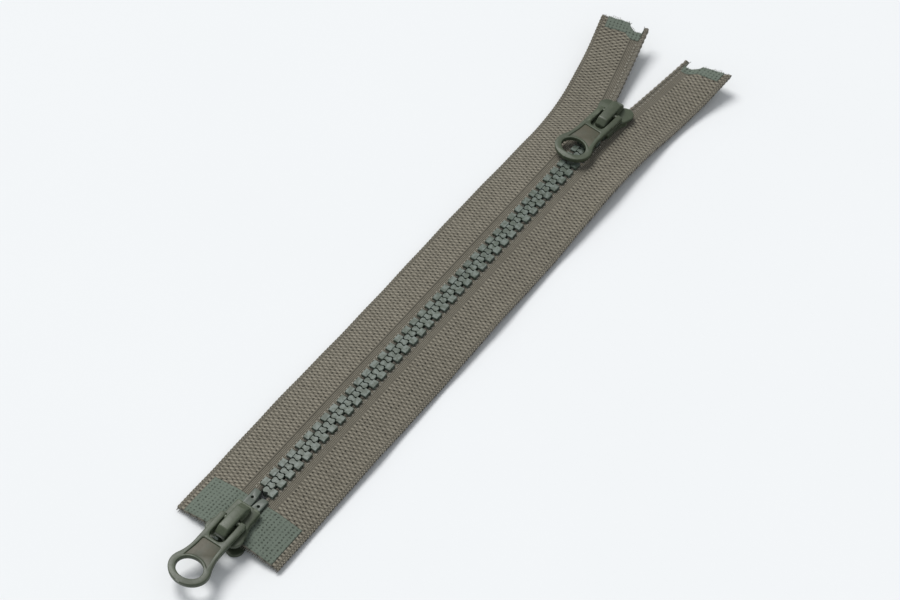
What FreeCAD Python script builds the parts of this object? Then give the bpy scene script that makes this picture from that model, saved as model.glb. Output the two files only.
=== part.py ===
import FreeCAD, Part
import math
import os

os.makedirs("parts", exist_ok=True)
V = FreeCAD.Vector

# Two-way separating zipper with moulded teeth. Millimetres, +Z up, +Y from the bottom end
# to the top end along the chain, X across it. The origin is the middle of the bottom
# slider's underside. "Station" is the distance from the bottom cut end of the tapes.

# Driving dimensions: stringers
TAPE_TOTAL_WIDTH = 32.0      # both tapes with the chain closed
TAPE_THICKNESS = 0.6
MARGIN_THICKNESS = 0.5       # the tape is knitted thinner where the teeth are moulded over it
CORD_DIAMETER = 1.2          # corded inner edge of each tape, across flats
CORD_X = 1.8                 # centre of the cord from the middle of the chain
TAPE_TOP_STATION = 208.0
TOOTH_PITCH = 3.5
FIRST_RIGHT_TOOTH = 15.9     # station of the lowest tooth of the right row
RIGHT_TEETH = 45
LEFT_TEETH = 44              # the left row is half a pitch higher

# Driving dimensions: one tooth, for the right row
CHAIN_HALF_WIDTH = 2.65
SHOULDER_X = 0.95
HEAD_REACH = 0.95            # how far a head passes the middle of the chain
HEAD_RADIUS = 0.85
HEAD_SIDES = 7
NECK_HALF = 0.52
BODY_HALF = 1.2              # half of the square body's length along the chain
BODY_HALF_HEIGHT = 1.25
HEAD_HALF_HEIGHT = 1.05

# Driving dimensions: slider, measured from its narrow end towards its wide end
SLIDER_LENGTH = 12.4
NARROW_HALF = 3.65
WIDE_HALF = 5.5
CHANNEL_HALF_HEIGHT = 1.45
PLATE_THICKNESS = 1.0
PLATE_OUTER = CHANNEL_HALF_HEIGHT + PLATE_THICKNESS
CHANNEL_HALF_WIDTH = 2.8
RAIL_GAP_HALF = 0.55         # the tapes pass between the upper and lower rails
BRANCH_START = 4.5           # where the Y-shaped channel starts to widen
RAIL_END = 9.0
RAIL_END_HALF_WIDTH = 4.3
DIVIDER_HALF = 0.85
CROWN_WIDTH = 3.1
CROWN_START = 1.1
CROWN_END = 11.7
CROWN_TOP = 4.95
CROWN_ROOF = 4.62
CROWN_WALL = 0.5
FRONT_LUG = (9.2, 11.1, 3.9)  # start, end and top of the post that holds the lock spring
REAR_LUG = (1.7, 2.7, 3.5)
PULL_PIVOT_U = 6.6
PULL_PIVOT_W = 3.4
CROSSING_HALF = 1.1          # opening through the crown for the pull's cross bar
CROSSING_TOP = 4.15

# Driving dimensions: pull, measured from its cross bar towards its ring
PULL_THICKNESS = 1.4
PULL_HEAD_HALF = 3.95
PULL_SLOT_HALF = 2.3
PULL_SLOT_END = 7.0
PULL_BAR_RADIUS = 0.6
RING_CENTRE = 16.6
RING_HALF_WIDTH = 5.6
RING_HALF_LENGTH = 4.65
RING_HOLE_HALF_WIDTH = 3.7
RING_HOLE_HALF_LENGTH = 2.9
PULL_TILT = 1.8
TOP_PULL_YAW = 5.0

# Driving dimensions: ends
BOTTOM_FILM_LENGTH = 12.3
FILM_OUTER = 13.8
TOP_FILM_LENGTH = 3.6
FILM_THICKNESS = 0.12
LEFT_FLARE = 13.0
RIGHT_FLARE = 7.0

# Places along the chain
BOTTOM_SLIDER_NARROW = 9.1
TOP_SLIDER_NARROW = 166.0
LOWER_HINGE = 70.0           # the closed middle runs between these two stations
UPPER_HINGE = 88.0
FLARE_START = 171.0
FLARE_BEND = 6.0             # cord length over which the top end turns outwards

MID_Z = PLATE_OUTER
ORIGIN_STATION = BOTTOM_SLIDER_NARROW - SLIDER_LENGTH / 2
HALF_TAPE = TAPE_TOTAL_WIDTH / 2
HALF_THICK = TAPE_THICKNESS / 2
MARGIN_HALF = MARGIN_THICKNESS / 2
CORD_HALF = CORD_DIAMETER / 2
TAPE_INNER = CORD_X + CORD_HALF
MARGIN_OUTER = CHAIN_HALF_WIDTH + 0.1
LEFT, RIGHT = -1, 1
FAR = 400.0                  # longer than anything here, for cutting tools


def plate(points, low, high):
    """Flat plate from a closed plan outline of straight edges."""
    corners = [V(x, y, low) for x, y in points]
    wire = Part.makePolygon(corners + [corners[0]])
    return Part.Face(wire).extrude(V(0, 0, high - low))


def block(x0, x1, y0, y1, z0, z1):
    return Part.makeBox(x1 - x0, y1 - y0, z1 - z0, V(x0, y0, z0))


def line(a, b, z=0.0):
    return Part.LineSegment(V(a[0], a[1], z), V(b[0], b[1], z)).toShape()


def arc(a, middle, b, z=0.0):
    return Part.Arc(V(a[0], a[1], z), V(middle[0], middle[1], z), V(b[0], b[1], z)).toShape()


def mirrored(shape):
    return shape.mirror(V(0, 0, 0), V(1, 0, 0))


def on_side(shape, side):
    """A shape drawn for the right stringer, on the side that is asked for."""
    return shape if side == RIGHT else mirrored(shape)


def to_row_frame(shape):
    moved = shape.copy()
    moved.translate(V(0, -ORIGIN_STATION, MID_Z))
    return moved


def save(name, shapes):
    pieces = [to_row_frame(s) for s in shapes]
    whole = pieces[0] if len(pieces) == 1 else Part.makeCompound(pieces)
    whole.exportStep("parts/" + name + ".step")


# Stringer path: straight up the chain, then a bend, then straight to the top end

def flare_of(side):
    return math.radians(LEFT_FLARE if side == LEFT else RIGHT_FLARE)


def path_point(x, station, side):
    """Plan point of the right-hand drawing, x from the chain's middle, on the bent path."""
    turn = flare_of(side)
    radius = FLARE_BEND / turn
    past = station - FLARE_START
    if past <= 0:
        return (x, station)
    if past <= FLARE_BEND:
        angle = past / radius
    else:
        angle = turn
    centre_x = CORD_X + radius
    arm = centre_x - x
    px = centre_x - arm * math.cos(angle)
    py = FLARE_START + arm * math.sin(angle)
    straight = max(0.0, past - FLARE_BEND)
    return (px + straight * math.sin(turn), py + straight * math.cos(turn))


def strip(x0, x1, start, end, side, low, high):
    """Strip of tape between two distances from the chain's middle, along the path."""
    if end <= FLARE_START:
        return plate([(x0, start), (x1, start), (x1, end), (x0, end)], low, high)
    bend_mid = FLARE_START + FLARE_BEND / 2
    bend_end = FLARE_START + FLARE_BEND

    def edge_points(x):
        return [path_point(x, s, side) for s in (start, FLARE_START, bend_mid, bend_end, end)]

    if start >= bend_end:
        ends = [path_point(x, s, side) for x, s in ((x0, start), (x1, start), (x1, end), (x0, end))]
        return plate(ends, low, high)
    a = edge_points(x0)
    b = edge_points(x1)
    edges = [line(a[0], a[1], low), arc(a[1], a[2], a[3], low), line(a[3], a[4], low)]
    edges += [line(a[4], b[4], low), line(b[4], b[3], low), arc(b[3], b[2], b[1], low)]
    edges += [line(b[1], b[0], low), line(b[0], a[0], low)]
    return Part.Face(Part.Wire(edges)).extrude(V(0, 0, high - low))


def cord(start, end, side, grow=0.0):
    """Octagonal cord along the path."""
    half = CORD_HALF + grow
    flat = half * math.tan(math.radians(22.5))
    section = [(half, -flat), (half, flat), (flat, half), (-flat, half)]
    section += [(-half, flat), (-half, -flat), (-flat, -half), (flat, -half)]
    corners = [V(CORD_X + x, start, z) for x, z in section]
    wire = Part.makePolygon(corners + [corners[0]])
    if end <= FLARE_START:
        return Part.Face(wire).extrude(V(0, end - start, 0))
    stations = (start, FLARE_START, FLARE_START + FLARE_BEND / 2, FLARE_START + FLARE_BEND, end)
    at = [path_point(CORD_X, s, side) for s in stations]
    spine = [line(at[0], at[1]), arc(at[1], at[2], at[3]), line(at[3], at[4])]
    return Part.Wire(spine).makePipeShell([wire], True, False)


def top_notch(side):
    """Rounded nick in the top end beside the cord, which leaves a small nub at the corner."""
    turn = math.degrees(flare_of(side))
    at = path_point(CORD_X, TAPE_TOP_STATION, side)
    cutter = block(1.4, 4.0, -2.0, 3.0, -2.0, 2.0)
    cutter = cutter.fuse(Part.makeCylinder(1.6, 4.0, V(3.9, 0.2, -2.0)))
    cutter.rotate(V(0, 0, 0), V(0, 0, 1), -turn)
    cutter.translate(V(at[0], at[1], 0))
    return cutter


def margin(start, end, side):
    """Thin inner margin of the tape, which the teeth, stops and pins close on."""
    return strip(TAPE_INNER, MARGIN_OUTER, start, end, side, -MARGIN_HALF, MARGIN_HALF)


def tape(start, end, side):
    sheet = strip(MARGIN_OUTER, HALF_TAPE, start, end, side, -HALF_THICK, HALF_THICK)
    sheet = sheet.fuse(margin(start, end, side))
    if end == TAPE_TOP_STATION:
        sheet = sheet.cut(top_notch(side))
    return on_side(sheet, side)


def film_pair(start, end, side, cutter=None):
    """Reinforcing film laminated to both faces of a tape."""
    layers = []
    for low in (HALF_THICK, -HALF_THICK - FILM_THICKNESS):
        layer = strip(MARGIN_OUTER, FILM_OUTER, start, end, side, low, low + FILM_THICKNESS)
        layers.append(on_side(layer.cut(cutter) if cutter else layer, side))
    return layers


# Teeth: a square body round the cord, a narrow neck and a round head that hooks behind
# the heads of the other row

def tooth_outline():
    """Neck and many-sided head of a right-row tooth, from the shoulder to the tip."""
    centre = HEAD_RADIUS - HEAD_REACH
    root = SHOULDER_X + 0.1
    waist_angle = math.asin(NECK_HALF / HEAD_RADIUS)
    step = 2 * (math.pi - waist_angle) / HEAD_SIDES
    angles = [waist_angle + step * i for i in range(HEAD_SIDES + 1)]
    head = [(centre + HEAD_RADIUS * math.cos(a), HEAD_RADIUS * math.sin(a)) for a in angles]
    return [(root, -NECK_HALF), (root, NECK_HALF)] + head


def make_tooth():
    body = block(SHOULDER_X, CHAIN_HALF_WIDTH, -BODY_HALF, BODY_HALF, -BODY_HALF_HEIGHT, BODY_HALF_HEIGHT)
    head = plate(tooth_outline(), -HEAD_HALF_HEIGHT, HEAD_HALF_HEIGHT)
    return body.fuse(head).removeSplitter()


def seat(solid, side_cord, side_margin):
    """A moulded piece closes on the cord and the tape, so both are cut out of it."""
    return solid.cut(side_cord).cut(side_margin)


def seated_tooth():
    reach = BODY_HALF + 0.5
    core = cord(-reach, reach, RIGHT)
    return seat(make_tooth(), core, margin(-reach, reach, RIGHT)).removeSplitter()


def tooth_stations(side):
    first = FIRST_RIGHT_TOOTH + (TOOTH_PITCH / 2 if side == LEFT else 0.0)
    count = LEFT_TEETH if side == LEFT else RIGHT_TEETH
    return [first + TOOTH_PITCH * i for i in range(count)]


def teeth(start, end, side):
    tooth = seated_tooth()
    row = []
    for station in tooth_stations(side):
        if start <= station < end:
            one = tooth.copy()
            one.translate(V(0, station, 0))
            row.append(on_side(one, side))
    return row


def top_stop(side):
    """Moulded block above the last tooth, which keeps the slider on the chain."""
    half = 1.3
    station = FLARE_START + FLARE_BEND / 2 + 1.4
    turn = math.degrees(flare_of(side)) * (station - FLARE_START) / FLARE_BEND
    at = path_point(CORD_X, station, side)
    inner = SHOULDER_X - CORD_X
    outer = CHAIN_HALF_WIDTH - CORD_X
    solid = block(inner, outer, -half, half, -BODY_HALF_HEIGHT, BODY_HALF_HEIGHT)
    solid.rotate(V(0, 0, 0), V(0, 0, 1), -turn)
    solid.translate(V(at[0], at[1], 0))
    core = cord(UPPER_HINGE, TAPE_TOP_STATION, side)
    return on_side(seat(solid, core, margin(UPPER_HINGE, TAPE_TOP_STATION, side)), side)


def end_pin(side):
    """Moulded pin at the foot of a stringer: a flat head above the slider, a round pin in it."""
    middle_gap = 0.15
    head_low = 5.0
    pin_low = -2.2
    pin_radius = 0.8
    head_high = 14.6 if side == LEFT else 13.2
    slope_low = head_high - 3.0
    points = [(middle_gap, head_low), (middle_gap, slope_low), (SHOULDER_X - 0.2, head_high)]
    points += [(CHAIN_HALF_WIDTH, head_high), (CHAIN_HALF_WIDTH, head_low)]
    head = plate(points, -BODY_HALF_HEIGHT, BODY_HALF_HEIGHT)
    dimple = Part.makeCylinder(0.35, 0.6, V(1.5, head_high - 2.6, BODY_HALF_HEIGHT - 0.6))
    pin_length = head_low - pin_low + 0.5
    pin = Part.makeCylinder(pin_radius, pin_length, V(CORD_X + 0.05, pin_low, 0), V(0, 1, 0))
    core = cord(head_low, LOWER_HINGE, RIGHT)
    solid = head.fuse(pin).cut(dimple)
    return on_side(seat(solid, core, margin(0.0, LOWER_HINGE, RIGHT)), side)


# Slider, drawn from its narrow end at y = 0 to its wide end, with the chain's middle at z = 0

def slider_outline():
    """Plan outline: straight narrow end, flared sides, two round shoulders and a notch."""
    corner = 0.7
    flare_low = (NARROW_HALF + 0.1, 4.4)
    flare_high = (WIDE_HALF - 0.05, 9.4)
    shoulder = (WIDE_HALF - 0.55, 11.55)
    shoulder_end = (3.1, SLIDER_LENGTH)
    notch = 10.9
    diagonal = corner * (1 - math.sqrt(0.5))
    right = [arc((NARROW_HALF - corner, 0), (NARROW_HALF - diagonal, diagonal), (NARROW_HALF, corner))]
    right.append(line((NARROW_HALF, corner), flare_low))
    right.append(line(flare_low, flare_high))
    right.append(arc(flare_high, shoulder, shoulder_end))
    left = [mirrored(edge) for edge in right]
    ends = [arc(shoulder_end, (0, notch), (-shoulder_end[0], shoulder_end[1]))]
    ends.append(line((NARROW_HALF - corner, 0), (corner - NARROW_HALF, 0)))
    return Part.Wire(Part.__sortEdges__(right + left + ends))


def slider_layer(low, high):
    face = Part.Face(slider_outline())
    solid = face.extrude(V(0, 0, high - low))
    solid.translate(V(0, 0, low))
    return solid


def channel_cutter():
    """Y-shaped way of the teeth through the slider."""
    edge = 8.0
    half = [(CHANNEL_HALF_WIDTH, -1.0), (CHANNEL_HALF_WIDTH, BRANCH_START)]
    half += [(RAIL_END_HALF_WIDTH, RAIL_END), (edge, RAIL_END), (edge, SLIDER_LENGTH + 1.0)]
    other = [(-x, y) for x, y in reversed(half)]
    return plate(half + other, -CHANNEL_HALF_HEIGHT, CHANNEL_HALF_HEIGHT)


def divider():
    """Wedge-shaped post that parts the two rows and joins the two plates."""
    tip = 6.4
    full = 8.7
    back = 10.4
    edges = [line((0, tip), (DIVIDER_HALF, full)), line((DIVIDER_HALF, full), (DIVIDER_HALF, back))]
    edges.append(arc((DIVIDER_HALF, back), (0, back + DIVIDER_HALF), (-DIVIDER_HALF, back)))
    edges += [line((-DIVIDER_HALF, back), (-DIVIDER_HALF, full)), line((-DIVIDER_HALF, full), (0, tip))]
    low = -CHANNEL_HALF_HEIGHT
    solid = Part.Face(Part.Wire(edges)).extrude(V(0, 0, 2 * CHANNEL_HALF_HEIGHT))
    solid.translate(V(0, 0, low))
    return solid


def lies_at(edge, height):
    low, high = edge.BoundBox.ZMin, edge.BoundBox.ZMax
    return max(abs(low - height), abs(high - height)) < 1e-6


def chamfered_plate(low, high, outer_z):
    """One plate of the slider with a chamfer round its outer face."""
    solid = slider_layer(low, high)
    return solid.makeChamfer(0.3, [e for e in solid.Edges if lies_at(e, outer_z)])


def slider_body():
    upper = chamfered_plate(CHANNEL_HALF_HEIGHT, PLATE_OUTER, PLATE_OUTER)
    lower = chamfered_plate(-PLATE_OUTER, -CHANNEL_HALF_HEIGHT, -PLATE_OUTER)
    channel = channel_cutter()
    upper_rails = slider_layer(RAIL_GAP_HALF, CHANNEL_HALF_HEIGHT).cut(channel)
    lower_rails = slider_layer(-CHANNEL_HALF_HEIGHT, -RAIL_GAP_HALF).cut(channel)
    lug_half = CROWN_WIDTH / 2 - CROWN_WALL - 0.05
    lug_low = PLATE_OUTER - 0.1
    lugs = [block(-lug_half, lug_half, *lug[:2], lug_low, lug[2]) for lug in (FRONT_LUG, REAR_LUG)]
    window = block(-0.75, 0.75, 3.2, 4.8, 0.0, PLATE_OUTER + 1.0)
    solid = upper.multiFuse([lower, upper_rails, lower_rails, divider()] + lugs)
    return solid.cut(window).removeSplitter()


def slider_crown():
    """Cap over the lock spring and the pull's cross bar, sloped at both ends."""
    slope_run = 1.7
    slope_drop = 1.3
    half = CROWN_WIDTH / 2
    side = [(CROWN_START, PLATE_OUTER), (CROWN_START, CROWN_TOP - slope_drop)]
    side += [(CROWN_START + slope_run, CROWN_TOP), (CROWN_END - slope_run, CROWN_TOP)]
    side += [(CROWN_END, CROWN_TOP - slope_drop), (CROWN_END, PLATE_OUTER)]
    corners = [V(-half, u, w) for u, w in side]
    face = Part.Face(Part.makePolygon(corners + [corners[0]]))
    solid = face.extrude(V(CROWN_WIDTH, 0, 0))
    long_edges = [e for e in solid.Edges if e.BoundBox.XLength < 1e-6 and e.BoundBox.ZMax > CROWN_TOP - 0.01]
    solid = solid.makeFillet(0.45, long_edges)
    inner = half - CROWN_WALL
    below = PLATE_OUTER - 1
    low_start = CROWN_START + CROWN_WALL
    low_end = CROWN_END - CROWN_WALL
    roof_start = CROWN_START + slope_run
    roof_end = CROWN_END - slope_run
    lug_start, lug_end, lug_top = FRONT_LUG
    crossing_start = PULL_PIVOT_U - CROSSING_HALF
    crossing_end = PULL_PIVOT_U + CROSSING_HALF
    hollow = block(-inner, inner, low_start, low_end, below, CROWN_ROOF - 0.9)
    hollow = hollow.fuse(block(-inner, inner, roof_start, roof_end, below, CROWN_ROOF))
    hollow = hollow.fuse(block(-inner, inner, lug_start - 0.1, lug_end + 0.1, below, lug_top + 0.05))
    crossing = block(-half - 1, half + 1, crossing_start, crossing_end, below, CROSSING_TOP)
    return solid.cut(hollow).cut(crossing).removeSplitter()


def lock_spring():
    """Bent leaf over the cross bar whose foot reaches through the plate to the teeth."""
    leaf = 0.2
    low = 4.06
    foot = 1.32
    foot_u = 3.7
    half = 0.6
    held_end = 9.8
    side = [(held_end, low), (foot_u + leaf, low), (foot_u + leaf, foot), (foot_u, foot)]
    side += [(foot_u, low + leaf), (held_end, low + leaf)]
    corners = [V(-half, u, w) for u, w in side]
    return Part.Face(Part.makePolygon(corners + [corners[0]])).extrude(V(2 * half, 0, 0))


# Pull, drawn from its cross bar at y = 0 towards its ring at negative y

def ring_ellipse(half_width, half_length):
    centre = V(0, -RING_CENTRE, 0)
    return Part.Ellipse(centre + V(half_width, 0, 0), centre + V(0, half_length, 0), centre)


def pull_outline():
    """Parallel head, flared neck tangent to both the head and the elliptical ring."""
    join = 1.8                   # where the neck meets the ring, before the ring's centre
    join_half = RING_HALF_WIDTH * math.sqrt(1 - (join / RING_HALF_LENGTH) ** 2)
    turn = math.atan((RING_HALF_WIDTH / RING_HALF_LENGTH) ** 2 * join / join_half)
    run = (join_half - PULL_HEAD_HALF) / math.tan(turn / 2)
    neck_radius = run / math.sin(turn)
    neck_start = RING_CENTRE - join - run
    middle_x = PULL_HEAD_HALF + neck_radius * (1 - math.cos(turn / 2))
    middle = (middle_x, -neck_start - neck_radius * math.sin(turn / 2))
    right = [line((PULL_HEAD_HALF, 0), (PULL_HEAD_HALF, -neck_start))]
    right.append(arc((PULL_HEAD_HALF, -neck_start), middle, (join_half, join - RING_CENTRE)))
    left = [mirrored(edge) for edge in right]
    angle = math.asin(join / RING_HALF_LENGTH)
    ellipse = ring_ellipse(RING_HALF_WIDTH, RING_HALF_LENGTH)
    ring = Part.ArcOfEllipse(ellipse, math.pi - angle, 2 * math.pi + angle)
    close = line((-PULL_HEAD_HALF, 0), (PULL_HEAD_HALF, 0))
    return Part.Wire(Part.__sortEdges__(right + left + [ring.toShape(), close]))


def pull():
    half = PULL_THICKNESS / 2
    solid = Part.Face(pull_outline()).extrude(V(0, 0, PULL_THICKNESS))
    solid.translate(V(0, 0, -half))
    shank = Part.makeCylinder(half, 2 * PULL_HEAD_HALF, V(-PULL_HEAD_HALF, 0, 0), V(1, 0, 0))
    solid = solid.fuse(shank)
    slot_corner = 1.6
    slot = block(-PULL_SLOT_HALF, PULL_SLOT_HALF, -PULL_SLOT_END, 1.5, -2.0, 2.0)
    corners = [e for e in slot.Edges if e.BoundBox.ZLength > 3 and e.BoundBox.YMax < -PULL_SLOT_END + 0.01]
    slot = slot.makeFillet(slot_corner, corners)
    rim = ring_ellipse(RING_HOLE_HALF_WIDTH, RING_HOLE_HALF_LENGTH).toShape()
    hole = Part.Face(Part.Wire([rim])).extrude(V(0, 0, 4.0))
    hole.translate(V(0, 0, -2.0))
    solid = solid.cut(slot).cut(hole)
    for pocket in pull_pockets(half):
        solid = solid.cut(pocket)
    bar_half = PULL_SLOT_HALF + 0.3
    bar = Part.makeCylinder(PULL_BAR_RADIUS, 2 * bar_half, V(-bar_half, 0, 0), V(1, 0, 0))
    return solid.fuse(bar).removeSplitter()


def pull_pockets(half):
    """Shallow plain panel on both faces between the slot and the ring's hole."""
    depth = 0.3
    top = -PULL_SLOT_END - 0.9
    top_half = PULL_HEAD_HALF - 1.2
    low = -RING_CENTRE + RING_HOLE_HALF_LENGTH + 0.3
    low_half = top_half + 0.75
    points = [(-top_half, top), (top_half, top), (low_half, low), (-low_half, low)]
    rim = Part.makeCylinder(RING_HOLE_HALF_WIDTH + 0.75, 6.0, V(0, -RING_CENTRE - 0.2, -3.0))
    panels = []
    for start in (half - depth, -half - 1.0):
        panels.append(plate(points, start, start + 1.0 + depth).cut(rim))
    return panels


# Placing

def place_slider(shape, narrow_station, reversed_slider):
    moved = shape.copy()
    if reversed_slider:
        moved.rotate(V(0, 0, 0), V(0, 0, 1), 180)
    moved.translate(V(0, narrow_station, 0))
    return moved


def place_pull(shape, pivot_station, yaw):
    moved = shape.copy()
    moved.rotate(V(0, 0, 0), V(1, 0, 0), PULL_TILT)
    moved.rotate(V(0, 0, 0), V(0, 0, 1), yaw)
    moved.translate(V(0, pivot_station, PULL_PIVOT_W))
    return moved


def save_stringer(side_name, side):
    spans = {"lower": (0.0, LOWER_HINGE), "middle": (LOWER_HINGE, UPPER_HINGE),
             "upper": (UPPER_HINGE, TAPE_TOP_STATION)}
    for span_name, (start, end) in spans.items():
        name = side_name + "_{}_" + span_name
        cord_start = 5.0 if span_name == "lower" else start
        save(name.format("tape"), [tape(start, end, side)])
        save(name.format("cord"), [on_side(cord(cord_start, end, side), side)])
        save(name.format("teeth"), teeth(start, end, side))
    save(side_name + "_top_stop", [top_stop(side)])
    save(side_name + "_end_pin", [end_pin(side)])
    save(side_name + "_bottom_film", film_pair(0.0, BOTTOM_FILM_LENGTH, side))
    film_low = TAPE_TOP_STATION - TOP_FILM_LENGTH
    save(side_name + "_top_film", film_pair(film_low, TAPE_TOP_STATION, side, top_notch(side)))


def save_slider(name, narrow_station, reversed_slider, yaw):
    sign = -1 if reversed_slider else 1
    save(name + "_slider_body", [place_slider(slider_body(), narrow_station, reversed_slider)])
    save(name + "_slider_crown", [place_slider(slider_crown(), narrow_station, reversed_slider)])
    save(name + "_lock_spring", [place_slider(lock_spring(), narrow_station, reversed_slider)])
    save(name + "_pull", [place_pull(pull(), narrow_station + sign * PULL_PIVOT_U, yaw)])


save_stringer("left", LEFT)
save_stringer("right", RIGHT)
save_slider("top", TOP_SLIDER_NARROW, False, -TOP_PULL_YAW)
save_slider("bottom", BOTTOM_SLIDER_NARROW, True, 0.0)
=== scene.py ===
import math
import bmesh
import bpy
from mathutils import Matrix, Vector


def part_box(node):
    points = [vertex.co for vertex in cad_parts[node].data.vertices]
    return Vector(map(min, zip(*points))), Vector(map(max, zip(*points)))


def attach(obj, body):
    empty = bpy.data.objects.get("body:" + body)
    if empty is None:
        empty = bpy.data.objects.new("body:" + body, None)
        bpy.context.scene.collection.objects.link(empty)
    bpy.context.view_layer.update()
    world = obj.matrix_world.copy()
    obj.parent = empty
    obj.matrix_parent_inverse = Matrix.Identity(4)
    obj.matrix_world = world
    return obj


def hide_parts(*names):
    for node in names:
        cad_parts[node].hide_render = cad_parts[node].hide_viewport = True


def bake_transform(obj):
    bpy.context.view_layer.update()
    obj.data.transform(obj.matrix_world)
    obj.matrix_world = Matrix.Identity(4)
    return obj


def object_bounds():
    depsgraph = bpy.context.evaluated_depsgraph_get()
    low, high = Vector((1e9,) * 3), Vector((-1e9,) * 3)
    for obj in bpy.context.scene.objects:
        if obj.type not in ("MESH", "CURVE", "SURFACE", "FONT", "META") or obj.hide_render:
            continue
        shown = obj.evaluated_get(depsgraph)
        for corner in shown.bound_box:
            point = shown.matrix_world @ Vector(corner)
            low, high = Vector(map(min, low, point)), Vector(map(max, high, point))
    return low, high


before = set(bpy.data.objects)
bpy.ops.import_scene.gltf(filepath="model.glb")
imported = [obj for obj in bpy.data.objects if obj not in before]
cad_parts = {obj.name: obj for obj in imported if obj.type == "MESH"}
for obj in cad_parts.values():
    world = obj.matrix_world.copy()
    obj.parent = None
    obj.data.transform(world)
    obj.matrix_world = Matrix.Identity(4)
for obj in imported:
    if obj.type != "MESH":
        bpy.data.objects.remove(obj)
cad_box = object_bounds()

# Two-way separating zipper with moulded teeth, in metres. X runs across the chain, Y up the
# chain from the bottom end to the top end. A "station" is the distance from the bottom cut end
# of the tapes, and "across" is the distance outwards from the middle of a cord.

MM = 0.001
LEFT, RIGHT = -1, 1
SIDE_NAMES = {LEFT: "left", RIGHT: "right"}

# Places read from the frame
FOOT_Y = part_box("right_tape_lower")[0].y
MID_Z = (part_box("right_tape_lower")[0].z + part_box("right_tape_lower")[1].z) / 2
CORD_X = (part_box("right_cord_lower")[0].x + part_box("right_cord_lower")[1].x) / 2
TAPE_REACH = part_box("right_tape_lower")[1].x - CORD_X
LOWER_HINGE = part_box("right_tape_lower")[1].y - FOOT_Y
BOTTOM_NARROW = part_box("bottom_slider_body")[1].y - FOOT_Y
TOP_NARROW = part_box("top_slider_body")[0].y - FOOT_Y
PLATE_OUTER = MID_Z
TOOTH_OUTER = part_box("right_teeth_lower")[1].x
TOOTH_HALF_HEIGHT = (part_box("right_teeth_lower")[1].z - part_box("right_teeth_lower")[0].z) / 2

# Stringers
TAPE_LENGTH = 208.0 * MM
TAPE_THICKNESS = 0.6 * MM
CORD_RADIUS = 0.62 * MM
CORD_START = 5.0 * MM
CORD_SIDES = 10
FLARE_START = 171.0 * MM
FLARE_BEND = 6.0 * MM
FLARE = {LEFT: math.radians(13.0), RIGHT: math.radians(7.0)}
BEND_SPREAD = 15.0 * MM        # extra run of the flare at the outer edge, each way
SELVEDGE_Z = 0.55 * MM         # height of the tape's outer edge where it lies flat
TAPE_EDGE = 0.4 * MM           # the flat tape starts here, just over the cord
FIRM_EDGE = 3.6 * MM           # the tape lies level from the cord up to here
COLUMN = 1.2 * MM              # knit: width of a column of stitches
COURSE = 70.0 / 61.0 * MM      # knit: length of a stitch, a whole number in the lower piece
CUT_RUN = 12.0 * MM            # length over which the top end's rows take up the slanted cut
THREAD_COUNT = 44
THREAD_RADIUS = 0.075 * MM
FILM_THICKNESS = 0.1 * MM
FILM_OUTER = 12.0 * MM
BOTTOM_FILM = (0.05 * MM, 12.3 * MM)
TOP_FILM_LENGTH = 3.6 * MM

# Teeth
PITCH = 3.5 * MM
FIRST_TOOTH = {LEFT: 17.65 * MM, RIGHT: 15.9 * MM}
TOOTH_COUNT = {LEFT: 44, RIGHT: 45}
SHOULDER_X = 0.95 * MM
BODY_HALF = 1.2 * MM
HEAD_REACH = 0.95 * MM
HEAD_HALF_HEIGHT = 1.05 * MM
PIN_HEAD_START = 5.0 * MM
PIN_HEAD_END = {LEFT: 14.6 * MM, RIGHT: 13.2 * MM}
PIN_RADIUS = 0.8 * MM
PIN_HOLE_RADIUS = 0.36 * MM

# Slider, from its narrow end towards its wide end
NARROW_HALF = 3.65 * MM
WIDE_HALF = 5.5 * MM
CHANNEL_HALF_HEIGHT = 1.45 * MM
TAPE_SLOT_HALF = 0.55 * MM     # gap left between the rails for each tape
PIVOT_U = 6.6 * MM
PIVOT_W = 3.4 * MM
CROWN_START = 1.1 * MM
CROWN_END = 11.7 * MM
CROWN_TOP = 4.95 * MM
CROWN_HALF = 1.55 * MM
ARCH_HALF = 1.1 * MM           # opening under the crown for the pull's cross bar
ARCH_TOP = 4.15 * MM

# Pull, from its cross bar towards its ring
PULL_THICKNESS = 1.4 * MM
HEAD_HALF = 3.95 * MM
SLOT_HALF = 2.3 * MM
SLOT_END = 7.0 * MM
RING_CENTRE = 16.6 * MM
RING_HALF_WIDTH = 5.6 * MM
RING_HALF_LENGTH = 4.65 * MM
HOLE_HALF_WIDTH = 3.7 * MM
HOLE_HALF_LENGTH = 2.9 * MM
CROSS_BAR_RADIUS = 0.6 * MM
PANEL_DEPTH = 0.28 * MM
PULL_TILT = math.radians(1.8)
TOP_PULL_YAW = math.radians(-5.0)


# ---------------------------------------------------------------- making pieces

def add_object(name, data):
    added = bpy.data.objects.new(name, data)
    bpy.context.scene.collection.objects.link(added)
    return added


def finish_mesh(name, bm, material, smooth_angle=35.0):
    """A new piece from a bmesh, with its place in its mesh."""
    bmesh.ops.remove_doubles(bm, verts=bm.verts, dist=1e-7)
    mesh = bpy.data.meshes.new(name)
    bm.to_mesh(mesh)
    bm.free()
    piece = add_object(name, mesh)
    mesh.materials.append(material)
    mesh.shade_smooth()
    mesh.set_sharp_from_angle(angle=math.radians(smooth_angle))
    return piece


def prism(bm, points, low, high):
    """A straight-sided block on a closed plan outline, added to bm."""
    verts = [bm.verts.new((x, y, low)) for x, y in points]
    base = bm.faces.new(verts)
    made = bmesh.ops.extrude_face_region(bm, geom=[base])
    top = [g for g in made["geom"] if isinstance(g, bmesh.types.BMVert)]
    bmesh.ops.translate(bm, verts=top, vec=(0, 0, high - low))
    faces = {f for v in verts + top for f in v.link_faces}
    bmesh.ops.recalc_face_normals(bm, faces=list(faces))


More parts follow.
